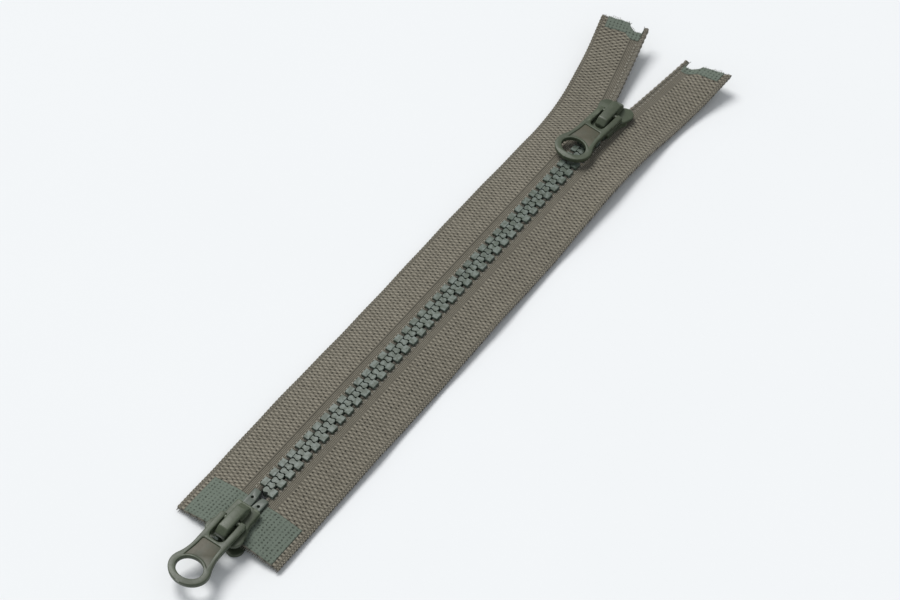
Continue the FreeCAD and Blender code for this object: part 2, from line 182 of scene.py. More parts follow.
def bevel_edges(bm, edges, width, segments):
    bmesh.ops.bevel(bm, geom=edges, offset=width, offset_type="OFFSET", affect="EDGES",
                    segments=segments, profile=0.5, material=-1, clamp_overlap=True)


def bar(bm, start, end, radius, segments=16):
    """A round bar between two points, added to bm."""
    axis = Vector(end) - Vector(start)
    turn = axis.to_track_quat("Z", "Y").to_matrix().to_4x4()
    place = Matrix.Translation((Vector(start) + Vector(end)) / 2) @ turn
    bmesh.ops.create_cone(bm, cap_ends=True, segments=segments, radius1=radius, radius2=radius,
                          depth=axis.length, matrix=place)


def rounded_plate(bm, outlines, low, high, edge):
    """A flat plate with holes and rounded edges, made from a filled flat curve, added to bm."""
    curve = bpy.data.curves.new("plate_outline", "CURVE")
    curve.dimensions = "2D"
    curve.fill_mode = "BOTH"
    curve.bevel_depth = edge
    curve.bevel_resolution = 2
    curve.offset = -edge
    curve.extrude = (high - low) / 2 - edge
    for points in outlines:
        spline = curve.splines.new("POLY")
        spline.points.add(len(points) - 1)
        for point, (x, y) in zip(spline.points, points):
            point.co = (x, y, 0, 1)
        spline.use_cyclic_u = True
    holder = add_object("plate_outline", curve)
    bpy.context.view_layer.update()
    mesh = bpy.data.meshes.new_from_object(holder.evaluated_get(bpy.context.evaluated_depsgraph_get()))
    mesh.transform(Matrix.Translation((0, 0, (low + high) / 2)))
    bm.from_mesh(mesh)
    bpy.data.objects.remove(holder)
    bpy.data.curves.remove(curve)
    bpy.data.meshes.remove(mesh)


def arc_points(centre, radius_x, radius_y, start, end, count):
    """Points on an elliptical arc, angles in degrees."""
    angles = [math.radians(start + (end - start) * i / count) for i in range(count + 1)]
    return [(centre[0] + radius_x * math.cos(a), centre[1] + radius_y * math.sin(a)) for a in angles]


def both_sides(right):
    """A closed outline from its right half, listed from one end of the middle line to the other."""
    return right + [(-x, y) for x, y in reversed(right) if abs(x) > 1e-7]


def smooth(t):
    t = min(max(t, 0.0), 1.0)
    return t * t * (3 - 2 * t)


# ---------------------------------------------------------------- shader groups

class Nodes:
    """Short ways to add and link the nodes of one tree."""

    def __init__(self, tree):
        self.tree = tree

    def add(self, kind, **values):
        node = self.tree.nodes.new(kind)
        for key, value in values.items():
            setattr(node, key, value)
        return node

    def link(self, source, target):
        self.tree.links.new(source, target)

    def put(self, socket, value):
        if hasattr(value, "is_output"):
            self.link(value, socket)
        else:
            socket.default_value = value

    def math(self, operation, a, b=None, c=None, clamp=False):
        node = self.add("ShaderNodeMath", operation=operation, use_clamp=clamp)
        for socket, value in zip(node.inputs, (a, b, c)):
            if value is not None:
                self.put(socket, value)
        return node.outputs[0]

    def plus(self, a, b, clamp=False):
        return self.math("ADD", a, b, clamp=clamp)

    def times(self, a, b):
        return self.math("MULTIPLY", a, b)

    def inverse(self, share):
        """1 less the share."""
        return self.math("SUBTRACT", 1.0, share)

    def ramp(self, value, low, high):
        """0 below low, 1 above high, with a smooth step between."""
        node = self.add("ShaderNodeMapRange", clamp=True)
        node.interpolation_type = "SMOOTHSTEP"
        self.put(node.inputs["Value"], value)
        self.put(node.inputs["From Min"], low)
        self.put(node.inputs["From Max"], high)
        return node.outputs["Result"]

    def noise(self, vector, scale, detail=3.0, roughness=0.5):
        node = self.add("ShaderNodeTexNoise")
        self.put(node.inputs["Vector"], vector)
        node.inputs["Scale"].default_value = scale
        node.inputs["Detail"].default_value = detail
        node.inputs["Roughness"].default_value = roughness
        return node.outputs["Fac"]

    def split(self, vector):
        node = self.add("ShaderNodeSeparateXYZ")
        self.link(vector, node.inputs[0])
        return node.outputs

    def mix_color(self, factor, a, b):
        node = self.add("ShaderNodeMix", data_type="RGBA", blend_type="MIX")
        self.put(node.inputs["Factor"], factor)
        self.put(node.inputs["A"], a)
        self.put(node.inputs["B"], b)
        return node.outputs["Result"]

    def bump(self, height, distance):
        node = self.add("ShaderNodeBump")
        node.inputs["Strength"].default_value = 1.0
        node.inputs["Distance"].default_value = distance
        self.put(node.inputs["Height"], height)
        return node.outputs["Normal"]


def new_group(name, numbers, outputs):
    """A group that takes a vector and numbers, and gives numbers."""
    tree = bpy.data.node_groups.new(name, "ShaderNodeTree")
    tree.interface.new_socket("Vector", in_out="INPUT", socket_type="NodeSocketVector")
    for label, default in numbers.items():
        socket = tree.interface.new_socket(label, in_out="INPUT", socket_type="NodeSocketFloat")
        socket.default_value = default
    for label in outputs:
        tree.interface.new_socket(label, in_out="OUTPUT", socket_type="NodeSocketFloat")
    nodes = Nodes(tree)
    return tree, nodes, nodes.add("NodeGroupInput").outputs, nodes.add("NodeGroupOutput").inputs


def knit_group():
    """Warp-knitted stitches: two sets of diagonal strands that cross between slits, which
    stand in columns, each second column half a course on. Slit is the mask for painted shade
    in the slits and between the strands. The vector is (across, along) in millimetres."""
    tree, n, given, out = new_group(
        "knit_stitches", {"Column": COLUMN / MM, "Course": COURSE / MM, "Sway": 0.55},
        ("Height", "Slit", "Tone"))
    split = n.split(given["Vector"])
    drift = n.math("SUBTRACT", n.noise(given["Vector"], 0.9, 1.0), 0.5)
    sway = n.times(drift, given["Sway"])
    column = n.math("DIVIDE", n.plus(split["X"], sway), given["Column"])
    course = n.math("DIVIDE", n.math("SUBTRACT", split["Y"], sway), given["Course"])
    half_column = n.times(column, 0.5)
    waves = []
    for operation in ("ADD", "SUBTRACT"):
        turn = n.times(n.math(operation, half_column, course), 2 * math.pi)
        waves.append(n.math("MULTIPLY_ADD", n.math("COSINE", turn), 0.5, 0.5))
    crossing = n.times(waves[0], waves[1])
    strand = n.inverse(n.math("MAXIMUM", waves[0], waves[1]))
    beside = n.math("ABSOLUTE", n.math("SUBTRACT", column, n.math("ROUND", column)))
    narrow = n.inverse(n.ramp(beside, 0.06, 0.31))
    # Painted shade mask: the slits between stitches, deeper in patches, and the dips between the strands.
    slit = n.times(n.ramp(crossing, 0.02, 0.40), narrow)
    patches = n.ramp(n.noise(given["Vector"], 0.75, 1.0), 0.34, 0.62)
    depth = n.math("MULTIPLY_ADD", patches, 0.45, 0.55)
    slit = n.times(slit, depth)
    between = n.times(n.ramp(n.math("MAXIMUM", waves[0], waves[1]), 0.66, 1.0), 0.38)
    slit = n.math("MAXIMUM", slit, between)
    raised = n.math("MULTIPLY_ADD", strand, 0.45, 0.55)
    height = n.math("SUBTRACT", raised, n.times(slit, 0.5))
    cell = n.add("ShaderNodeCombineXYZ")
    for socket, operation in (("X", "ADD"), ("Y", "SUBTRACT")):
        n.link(n.math("FLOOR", n.math(operation, half_column, course)), cell.inputs[socket])
    chance = n.add("ShaderNodeTexWhiteNoise", noise_dimensions="3D")
    n.link(cell.outputs[0], chance.inputs["Vector"])
    n.link(height, out["Height"])
    n.link(slit, out["Slit"])
    n.link(chance.outputs["Value"], out["Tone"])
    return tree


def rib_group():
    """Fine straight ribs beside the teeth, crossed by faint courses."""
    tree, n, given, out = new_group("fine_ribs", {"Pitch": 0.46, "Course": 0.58}, ("Height", "Slit"))
    split = n.split(given["Vector"])
    column = n.math("FRACT", n.math("DIVIDE", split["X"], given["Pitch"]))
    slant = n.math("MULTIPLY_ADD", split["X"], 0.45, split["Y"])
    course = n.math("FRACT", n.math("DIVIDE", slant, given["Course"]))

    def rounded(share):
        return n.times(n.times(share, n.inverse(share)), 4.0)

    round_column, round_course = rounded(column), rounded(course)
    half_round = n.plus(n.times(round_course, 0.5), 0.5)
    height = n.times(round_column, half_round)
    n.link(height, out["Height"])
    # Slit: mask for painted shade in the furrows between the ribs and, fainter, along the courses.
    line = n.inverse(n.ramp(round_column, 0.05, 0.55))
    cross = n.inverse(n.ramp(round_course, 0.02, 0.42))
    n.link(n.math("MAXIMUM", line, n.times(cross, 0.55)), out["Slit"])
    return tree


def hole_grid_group():
    """Rows of small holes left open between the threads of the ribbon."""
    tree, n, given, out = new_group("open_weave", {"Across": 1.1, "Along": 0.92}, ("Height", "Hole"))
    split = n.split(given["Vector"])
    sway = n.times(n.math("SUBTRACT", n.noise(given["Vector"], 1.1, 2.0), 0.5), 0.75)
    offsets = []
    for axis, pitch in (("X", "Across"), ("Y", "Along")):
        place = n.math("DIVIDE", n.plus(split[axis], sway), given[pitch])
        offsets.append(n.math("ABSOLUTE", n.math("SUBTRACT", n.math("FRACT", place), 0.5)))
    wide = n.math("POWER", n.math("DIVIDE", offsets[0], 0.27), 2.0)
    tall = n.math("POWER", n.math("DIVIDE", offsets[1], 0.33), 2.0)
    # Hole: mask for painted shade in the holes.
    hole = n.inverse(n.ramp(n.plus(wide, tall), 0.30, 1.15))
    hole = n.times(hole, n.ramp(n.noise(given["Vector"], 1.6, 2.0), 0.28, 0.60))
    n.link(n.inverse(hole), out["Height"])
    n.link(hole, out["Hole"])
    return tree


def speckle_group():
    """Slow colour drift and fine grain that every finish here shares."""
    tree, n, given, out = new_group(
        "drift_and_grain", {"Drift Scale": 60.0, "Grain Scale": 1500.0}, ("Drift", "Grain"))
    for label, scale_name, detail in (("Drift", "Drift Scale", 2.0), ("Grain", "Grain Scale", 3.0)):
        node = n.add("ShaderNodeTexNoise")
        n.link(given["Vector"], node.inputs["Vector"])
        n.link(given[scale_name], node.inputs["Scale"])
        node.inputs["Detail"].default_value = detail
        n.link(node.outputs["Fac"], out[label])
    return tree


def edge_wear_group():
    """Where paint or plastic is rubbed: convex edges, broken up by noise."""
    tree, n, given, out = new_group("rubbed_edges", {"Amount": 0.5}, ("Wear",))
    geometry = n.add("ShaderNodeNewGeometry")
    convex = n.ramp(geometry.outputs["Pointiness"], 0.52, 0.60)
    patches = n.ramp(n.noise(given["Vector"], 900.0, 4.0, 0.6), 0.40, 0.62)
    n.link(n.times(n.times(convex, patches), given["Amount"]), out["Wear"])
    return tree


KNIT = knit_group()
RIBS = rib_group()
HOLES = hole_grid_group()
SPECKLE = speckle_group()
WEAR = edge_wear_group()


def place_group(n, tree, vector, **values):
    node = n.add("ShaderNodeGroup", node_tree=tree)
    n.link(vector, node.inputs["Vector"])
    for key, value in values.items():
        n.put(node.inputs[key.replace("_", " ")], value)
    return node.outputs


def new_material(name, roughness, specular=0.5, metallic=0.0, sheen=0.0, coat=0.0):
    material = bpy.data.materials.new(name)
    material.use_nodes = True
    n = Nodes(material.node_tree)
    shader = material.node_tree.nodes["Principled BSDF"]
    shader.inputs["Roughness"].default_value = roughness
    shader.inputs["Specular IOR Level"].default_value = specular
    shader.inputs["Metallic"].default_value = metallic
    shader.inputs["Sheen Weight"].default_value = sheen
    shader.inputs["Sheen Roughness"].default_value = 0.5
    shader.inputs["Coat Weight"].default_value = coat
    shader.inputs["Coat Roughness"].default_value = 0.3
    return material, n, shader


def object_vector(n):
    return n.add("ShaderNodeTexCoord").outputs["Object"]


def weave_map(n):
    """Place on the tape in millimetres, across and along."""
    return n.add("ShaderNodeUVMap", uv_map="weave_mm").outputs["UV"]


# ---------------------------------------------------------------- materials

YARN_LIGHT = (0.262, 0.240, 0.190, 1)
YARN_DARK = (0.150, 0.136, 0.104, 1)
YARN_PALE = (0.400, 0.375, 0.310, 1)
# Near-black painted shade for the slits, furrows and grooves of the tape and the cord between the teeth.
PAINTED_GAP_SHADE = (0.020, 0.018, 0.012, 1)
TOOTH_GREEN = (0.060, 0.081, 0.058, 1)
TOOTH_SHADE = (0.054, 0.073, 0.052, 1)
PIN_GREEN = (0.060, 0.078, 0.059, 1)
PLASTIC_RUBBED = (0.22, 0.26, 0.24, 1)
FILM_GREEN = (0.098, 0.124, 0.096, 1)
FILM_LIGHT = (0.185, 0.220, 0.182, 1)
FILM_FIBRE = (0.300, 0.335, 0.290, 1)
FILM_HOLE_SHADE = (0.034, 0.042, 0.030, 1)
PAINT_OLIVE = (0.058, 0.073, 0.044, 1)
PAINT_DEEP = (0.048, 0.060, 0.036, 1)
PAINT_RUBBED = (0.190, 0.215, 0.160, 1)
PAINT_CORNER = (0.085, 0.058, 0.036, 1)
PANEL_BROWN = (0.066, 0.059, 0.034, 1)
PANEL_GREEN = (0.057, 0.060, 0.037, 1)
STEEL_DARK = (0.42, 0.42, 0.42, 1)
STEEL_LIGHT = (0.62, 0.62, 0.61, 1)
TABLE_DARK = (0.822, 0.838, 0.850, 1)
TABLE_LIGHT = (0.836, 0.850, 0.862, 1)


# Lengthwise grooves of the tape: millimetres from its inner edge, and how strong the painted shade along
# the groove is
TAPE_GROOVES = ((3.0, 0.45), (7.6, 0.22), (8.8, 0.22), (12.8, 0.5))


def tape_material():
    """Knitted tape: ribs near the chain, staggered stitches, grooves and a tight selvedge,
    with painted shade in the slits and grooves and painted light on the raised strands.
    """
    material, n, shader = new_material("knitted_tape", 0.88, specular=0.2, sheen=0.15)
    uv = weave_map(n)
    split = n.split(uv)
    across = split["X"]
    loops = place_group(n, KNIT, uv)
    tight = place_group(n, KNIT, uv, Column=0.55, Course=0.86, Sway=0.1)
    ribs = place_group(n, RIBS, uv)
    outside_ribs = n.ramp(across, 2.95, 3.10)
    selvedge = n.ramp(across, 12.75, 12.85)
    not_ribs = n.inverse(outside_ribs)
    field = n.times(outside_ribs, n.inverse(selvedge))

    def region(rib_value, loop_value, tight_value):
        total = n.times(rib_value, not_ribs)
        total = n.plus(total, n.times(loop_value, field))
        return n.plus(total, n.times(tight_value, selvedge))

    height = region(n.times(ribs["Height"], 0.7), loops["Height"], tight["Height"])
    slit = region(n.times(ribs["Slit"], 0.62), loops["Slit"],
                  n.times(tight["Slit"], 0.85))
    for groove_at, depth in TAPE_GROOVES:
        away = n.math("ABSOLUTE", n.math("SUBTRACT", across, groove_at))
        groove = n.inverse(n.ramp(away, 0.03, 0.20))
        slit = n.math("MAXIMUM", slit, n.times(groove, depth))
    speckle = place_group(n, SPECKLE, uv, Drift_Scale=0.10, Grain_Scale=3.4)
    tone = n.times(speckle["Drift"], 0.40)
    tone = n.plus(tone, n.times(speckle["Grain"], 0.45))
    tone = n.plus(tone, n.times(loops["Tone"], 0.22))
    # Painted light and shade: raised strands lighter, low ones darker, on top of random tone.
    lift = n.times(n.math("SUBTRACT", height, 0.60), 1.3)
    yarn = n.mix_color(n.plus(tone, lift, clamp=True), YARN_DARK, YARN_LIGHT)
    # Painted shade: the slits, furrows and grooves are darkened towards near-black.
    n.link(n.mix_color(n.times(slit, 0.92), yarn, PAINTED_GAP_SHADE), shader.inputs["Base Color"])
    strands = n.plus(height, n.times(speckle["Grain"], 0.35))
    n.link(n.bump(strands, 0.30 * MM), shader.inputs["Normal"])
    return material


def cord_material():
    """Yarn wrapped over the corded edge, in short slanted stitches, with painted light on the
    raised wraps and painted shade in the slits and between the teeth.
    """
    material, n, shader = new_material("wrapped_cord", 0.84, specular=0.25, sheen=0.25)
    uv = weave_map(n)
    wraps = place_group(n, KNIT, uv, Column=0.80, Course=0.575, Sway=0.15)
    speckle = place_group(n, SPECKLE, uv, Drift_Scale=0.2, Grain_Scale=3.0)
    # Painted light and shade: raised wraps lighter, low ones darker, mixed with random grain.
    tone = n.plus(n.times(wraps["Height"], 0.6), n.times(speckle["Grain"], 0.5))
    yarn = n.mix_color(tone, YARN_DARK, YARN_LIGHT)
    split = n.split(uv)
    pale = n.ramp(split["X"], -2.0, -3.0)
    yarn = n.mix_color(n.times(pale, 0.85), yarn, YARN_PALE)
    along = split["Y"]
    # Painted shade: along the toothed stretch the cord is darkened towards near-black for the shade that
    # falls into the gaps between the teeth.
    toothed = n.times(n.ramp(along, 13.0, 15.0), n.ramp(along, 178.0, 174.0))
    shade_between_teeth = n.times(toothed, n.ramp(split["X"], -0.1, 0.0))
    yarn = n.mix_color(n.times(shade_between_teeth, 0.6), yarn, PAINTED_GAP_SHADE)
    slit = n.times(wraps["Slit"], n.math("MULTIPLY_ADD", pale, -0.75, 1.0))
    # Painted shade in the slits between wraps, weaker on the pale loops.
    n.link(n.mix_color(slit, yarn, PAINTED_GAP_SHADE), shader.inputs["Base Color"])
    n.link(n.bump(wraps["Height"], 0.2 * MM), shader.inputs["Normal"])
    return material


def film_material():
    """Thin ribbon laminated over the knit: green threads round rows of small holes, with
    painted shade in the holes and painted light on the raised threads.
    """
    material, n, shader = new_material("reinforcing_film", 0.66, specular=0.3)
    uv = weave_map(n)
    grid = place_group(n, HOLES, uv)
    threads = place_group(n, RIBS, uv, Pitch=0.275, Course=0.46)
    speckle = place_group(n, SPECKLE, uv, Drift_Scale=0.25, Grain_Scale=3.0)
    tone = n.plus(n.times(speckle["Drift"], 0.35), n.times(speckle["Grain"], 0.40))
    # Painted light and shade: raised threads lighter, low ones darker.
    thread = n.times(n.math("SUBTRACT", threads["Height"], 0.5), 0.35)
    tone = n.plus(tone, thread, clamp=True)
    light = n.mix_color(tone, FILM_GREEN, FILM_LIGHT)
    # Painted shade in the holes, stronger in patches.
    open_here = n.times(n.ramp(n.noise(uv, 0.35, 2.0), 0.30, 0.55), 0.50)
    holes = n.times(grid["Hole"], n.plus(open_here, 0.35))
    fibres = n.ramp(n.noise(uv, 7.0, 3.0), 0.55, 0.75)
    light = n.mix_color(n.times(fibres, 0.45), light, FILM_FIBRE)
    n.link(n.mix_color(holes, light, FILM_HOLE_SHADE), shader.inputs["Base Color"])
    height = n.plus(n.times(grid["Height"], 0.7), n.times(threads["Height"], 0.35))
    n.link(n.bump(height, 0.16 * MM), shader.inputs["Normal"])
    return material


def moulded_plastic(name, body, shade, roughness):
    """Satin moulded plastic with faint flow marks and lighter rubbed edges."""
    material, n, shader = new_material(name, roughness, specular=0.5)
    vector = object_vector(n)
    speckle = place_group(n, SPECKLE, vector, Drift_Scale=140.0, Grain_Scale=3500.0)
    wear = place_group(n, WEAR, vector, Amount=0.45)["Wear"]
    base = n.mix_color(n.ramp(speckle["Drift"], 0.35, 0.65), shade, body)
    n.link(n.mix_color(wear, base, PLASTIC_RUBBED), shader.inputs["Base Color"])
    rough = n.plus(n.times(speckle["Grain"], 0.18), roughness - 0.09)
    n.link(rough, shader.inputs["Roughness"])
    n.link(n.bump(speckle["Grain"], 0.012 * MM), shader.inputs["Normal"])
    return material


def painted_metal(name, main, patch, roughness):
    """Enamel over a zinc casting: slight orange peel, fine flecks and rubbed edges."""
    material, n, shader = new_material(name, roughness, specular=0.32, coat=0.06)
    vector = object_vector(n)
    speckle = place_group(n, SPECKLE, vector, Drift_Scale=170.0, Grain_Scale=2600.0)
    wear = place_group(n, WEAR, vector, Amount=0.6)["Wear"]
    base = n.mix_color(n.ramp(speckle["Drift"], 0.40, 0.62), main, patch)
    pointiness = n.add("ShaderNodeNewGeometry").outputs["Pointiness"]
    hollow = n.inverse(n.ramp(pointiness, 0.42, 0.485))
    base = n.mix_color(n.times(hollow, 0.55), base, PAINT_CORNER)
    flecks = n.ramp(n.noise(vector, 4200.0, 2.0), 0.58, 0.72)
    base = n.mix_color(n.times(flecks, 0.16), base, PAINT_RUBBED)
    n.link(n.mix_color(wear, base, PAINT_RUBBED), shader.inputs["Base Color"])
    rough = n.plus(n.times(speckle["Grain"], 0.22), roughness - 0.11)
    n.link(rough, shader.inputs["Roughness"])
    peel = n.plus(n.times(speckle["Grain"], 0.5), n.noise(vector, 900.0, 2.0))
    n.link(n.bump(peel, 0.02 * MM), shader.inputs["Normal"])
    return material


def spring_steel():
    material, n, shader = new_material("spring_steel", 0.32, metallic=1.0)
    vector = object_vector(n)
    mapping = n.add("ShaderNodeMapping")
    mapping.inputs["Scale"].default_value = (1.0, 12.0, 1.0)
    n.link(vector, mapping.inputs["Vector"])
    grain = n.noise(mapping.outputs["Vector"], 800.0, 4.0)
    n.link(n.mix_color(grain, STEEL_DARK, STEEL_LIGHT), shader.inputs["Base Color"])
    n.link(n.bump(grain, 0.005 * MM), shader.inputs["Normal"])
    return material


def floor_material():
    material, n, shader = new_material("pale_table", 0.75, specular=0.2)
    grain = n.noise(object_vector(n), 18.0, 3.0)
    n.link(n.mix_color(grain, TABLE_DARK, TABLE_LIGHT), shader.inputs["Base Color"])
    return material


TAPE = tape_material()
CORD = cord_material()
FILM = film_material()
TEETH = moulded_plastic("moulded_teeth", TOOTH_GREEN, TOOTH_SHADE, 0.40)
PINS = moulded_plastic("moulded_pins", PIN_GREEN, TOOTH_SHADE, 0.40)
PAINT = painted_metal("olive_enamel", PAINT_OLIVE, PAINT_DEEP, 0.40)
PANEL = painted_metal("pull_panel_enamel", PANEL_BROWN, PANEL_GREEN, 0.48)
STEEL = spring_steel()


# ---------------------------------------------------------------- the stringers' surface

def path(side, station, spread=0.0):
    """Plan point and turn of the cord's middle line, drawn for the right-hand side. The bend can
    be spread over a longer stretch about the same middle."""
    turn = FLARE[side]
    bend = FLARE_BEND + 2 * spread
    radius = bend / turn
    past = station - FLARE_START + spread
    if past <= 0:
        return CORD_X, FOOT_Y + station, 0.0
    angle = min(past, bend) / radius
    x = CORD_X + radius * (1 - math.cos(angle))
    y = FOOT_Y + FLARE_START - spread + radius * math.sin(angle)
    straight = max(0.0, past - bend)
    return x + straight * math.sin(angle), y + straight * math.cos(angle), angle


def outward_share(across):
    """0 beside the teeth, 1 at the selvedge."""
    return min(max((across - FIRM_EDGE) / (TAPE_REACH - FIRM_EDGE), 0.0), 1.0)


def bump_at(station, centre, reach):
    return smooth(1 - abs(station - centre) / reach)


def edge_lift(side, station):
    """How far the selvedge stands off the table along the tape."""
    s = station / MM
    if side == RIGHT:
        rise = 0.4 + 2.4 * bump_at(s, 152, 42) + 1.0 * bump_at(s, 95, 28) + 0.5 * bump_at(s, 38, 24)
    else:
        rise = 0.2 + 0.8 * bump_at(s, 118, 40) + 0.7 * bump_at(s, 40, 30) + 1.5 * bump_at(s, 184, 17)
    return rise * MM


def end_share(station, start):
    return max(0.0, (station - start * MM) / (TAPE_LENGTH - start * MM))


def tape_height(side, across, station):
    outward = outward_share(across)
    fall = (MID_Z - SELVEDGE_Z) * outward ** 1.35
    lift = (4.0 if side == LEFT else 1.3) * MM * end_share(station, 176) ** 1.6
    corner = (1.8 if side == LEFT else 3.2) * MM * end_share(station, 184) ** 1.5 * outward
    ripple = 0.10 * MM * math.sin(station / (2.9 * MM)) * outward ** 2
    return MID_Z - fall + edge_lift(side, station) * outward ** 2.2 + lift + corner + ripple


def stringer_point(side, across, station, above=0.0):
    x, y, turn = path(side, station, BEND_SPREAD * outward_share(across))
    z = tape_height(side, across, station) + above
    return Vector((side * (x + across * math.cos(turn)), y - across * math.sin(turn), z))


def knit_relief(across, station):
    """The stitches' own relief, in step with the knit in the material."""
    if across < 3.4 * MM:
        return 0.0
    column = (across - TAPE_EDGE) / COLUMN
    course = station / COURSE
    waves = [0.5 + 0.5 * math.cos(2 * math.pi * (column / 2 + turn * course)) for turn in (1, -1)]
    beside = abs(column - round(column))
    return 0.09 * MM * (1 - waves[0] * waves[1] * smooth((0.45 - beside) / 0.35))


def top_end_station(side, across):
    """The top cut, slanted on the right tape, with a rounded nick beside the corded corner."""
    a = across / MM
    cut = 0.0 if side == LEFT else 2.6 * (1 - across / TAPE_REACH)
    if 0.9 < a < 5.2:
        cut += 2.3 * math.sqrt(max(0.0, 1 - max(0.0, (a - 1.9) / 3.3) ** 2))
    return TAPE_LENGTH - (cut + 0.12 * math.sin(9.0 * a) + 0.08 * math.sin(23.0 * a)) * MM


def grid_on_tape(bm, side, across_range, start, end, steps, above, relief, end_cut=False):
    """A grid laid along the tape, with its own map in millimetres."""
    columns, rows = steps
    made = bmesh.ops.create_grid(bm, x_segments=columns, y_segments=rows, size=0.5)
    layer = bm.loops.layers.uv.get("weave_mm") or bm.loops.layers.uv.new("weave_mm")
    place = {}
    for vert in made["verts"]:
        across = across_range[0] + (vert.co.x + 0.5) * (across_range[1] - across_range[0])
        share = vert.co.y + 0.5
        station = start + share * (end - start)
        if end_cut:
            near_end = max(0.0, (station - (TAPE_LENGTH - CUT_RUN)) / CUT_RUN)
            station -= near_end * (TAPE_LENGTH - top_end_station(side, across))
        place[vert] = (across, station)
        if across > TAPE_REACH - 0.1 * MM:
            across -= 0.09 * MM * (1 + math.cos(2 * math.pi * station / COURSE))
        raised = above + (knit_relief(across, station) * relief)
        vert.co = stringer_point(side, across, station, raised)
    faces = {f for v in made["verts"] for f in v.link_faces}
    for face in faces:
        for loop in face.loops:
            across, station = place[loop.vert]
            loop[layer].uv = ((across - TAPE_EDGE) / MM, station / MM)
    if side == LEFT:
        bmesh.ops.reverse_faces(bm, faces=list(faces))
    return faces


def thicken(piece, thickness):
    """A wall centred on the sheet."""
    wall = piece.modifiers.new("thickness", "SOLIDIFY")
    wall.thickness = thickness
    wall.offset = 0.0
    wall.use_even_offset = False


def blend_to(piece):
    """Bakes the piece's placement into its mesh."""
    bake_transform(piece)


def replaced_nodes(side_name, kind, end_name):
    """The upper piece stands for the middle node too."""
    ends = (end_name, "middle") if end_name == "upper" else (end_name,)
    return ["{}_{}_{}".format(side_name, kind, end) for end in ends]


def spans():
    """Each stringer is two pieces, which meet at the lower end of the closed middle."""
    return (("lower", 0.0, LOWER_HINGE), ("upper", LOWER_HINGE, TAPE_LENGTH))


def make_tape(side, end_name, start, end):
    """The knitted strip, four grid cells to a column and to a course of the knit."""
    name = SIDE_NAMES[side]
    bm = bmesh.new()
    columns = round((TAPE_REACH - TAPE_EDGE) / (COLUMN / 4))
    rows = round((end - start) / (COURSE / 4))
    grid_on_tape(bm, side, (TAPE_EDGE, TAPE_REACH), start, end, (columns, rows), 0.0, 1.0,
                 end_name == "upper")
    piece = finish_mesh("{}_tape_{}_knit".format(name, end_name), bm, TAPE, 180)
    thicken(piece, TAPE_THICKNESS)
    blend_to(piece)
    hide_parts(*replaced_nodes(name, "tape", end_name))


def make_cord(side, end_name, start, end):
    """The corded edge: a tube with a small swelling at every stitch."""
    name = SIDE_NAMES[side]
    bm = bmesh.new()
    layer = bm.loops.layers.uv.new("weave_mm")
    around = CORD_SIDES
    step = 0.29 * MM
    start = max(start, CORD_START)
    if end_name == "upper":
        end = top_end_station(side, 0.0)
    count = int((end - start) / step)
    rings = []
    for i in range(count + 1):
        station = start + (end - start) * i / count
        turn = path(side, station)[2]
        if station > FLARE_START + FLARE_BEND:
            swell = 1 + 0.16 * math.sin(2 * math.pi * station / (PITCH / 2))
        else:
            swell = 1 + 0.10 * math.sin(2 * math.pi * station / COURSE)
        swell *= CORD_RADIUS
        middle = stringer_point(side, 0.0, station)
        outward = Vector((side * math.cos(turn), -math.sin(turn), 0))
        ring = []
        for k in range(around):
            angle = 2 * math.pi * k / around
            up = Vector((0, 0, swell * math.sin(angle)))
            ring.append(bm.verts.new(middle + outward * swell * math.cos(angle) + up))
        rings.append((station, ring))
    for (s0, low), (s1, high) in zip(rings, rings[1:]):
        for k in range(around):
            nxt = (k + 1) % around
            face = bm.faces.new((low[k], low[nxt], high[nxt], high[k]))
            for loop, (kk, s) in zip(face.loops, ((k, s0), (k + 1, s0), (k + 1, s1), (k, s1))):
                loop[layer].uv = (kk * 0.39, s / MM)
    bm.faces.new(rings[0][1])
    bm.faces.new(rings[-1][1])
    bmesh.ops.recalc_face_normals(bm, faces=bm.faces)
    piece = finish_mesh("{}_cord_{}_wrapped".format(name, end_name), bm, CORD, 180)
    blend_to(piece)
    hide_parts(*replaced_nodes(name, "cord", end_name))


def make_margin_loops(side, end_name, start, end):
    """Short pale loops of yarn that stand out of the margin beside the teeth, on both faces."""
    name = SIDE_NAMES[side]
    bm = bmesh.new()
    layer = bm.loops.layers.uv.new("weave_mm")
    start = max(start, 15.0 * MM)
    end = min(end, TAPE_LENGTH - 6 * MM)
    count = int((end - start) / (PITCH / 3))
    for i in range(count):
        station = start + (i + 0.5) * (end - start) / count
        for face_side in (1, -1):
            low = face_side * (TAPE_THICKNESS / 2 - 0.08 * MM)
            middle = stringer_point(side, 1.20 * MM + 0.12 * MM * math.sin(i * 2.4), station, low)
            made = bmesh.ops.create_icosphere(bm, subdivisions=1, radius=1.0)["verts"]
            bmesh.ops.scale(bm, verts=made, vec=(0.44 * MM, 0.30 * MM, 0.27 * MM))
            slant = Matrix.Rotation(side * 0.6, 3, "Z")
            bmesh.ops.rotate(bm, verts=made, cent=(0, 0, 0), matrix=slant)
            bmesh.ops.translate(bm, verts=made, vec=middle)
            for face in {f for v in made for f in v.link_faces}:
                for loop in face.loops:
                    offset = loop.vert.co - middle
                    loop[layer].uv = (offset.x / MM * 2 - 5.0, station / MM + offset.y / MM * 2)
    piece = finish_mesh("{}_margin_loops_{}".format(name, end_name), bm, CORD, 180)
    blend_to(piece)


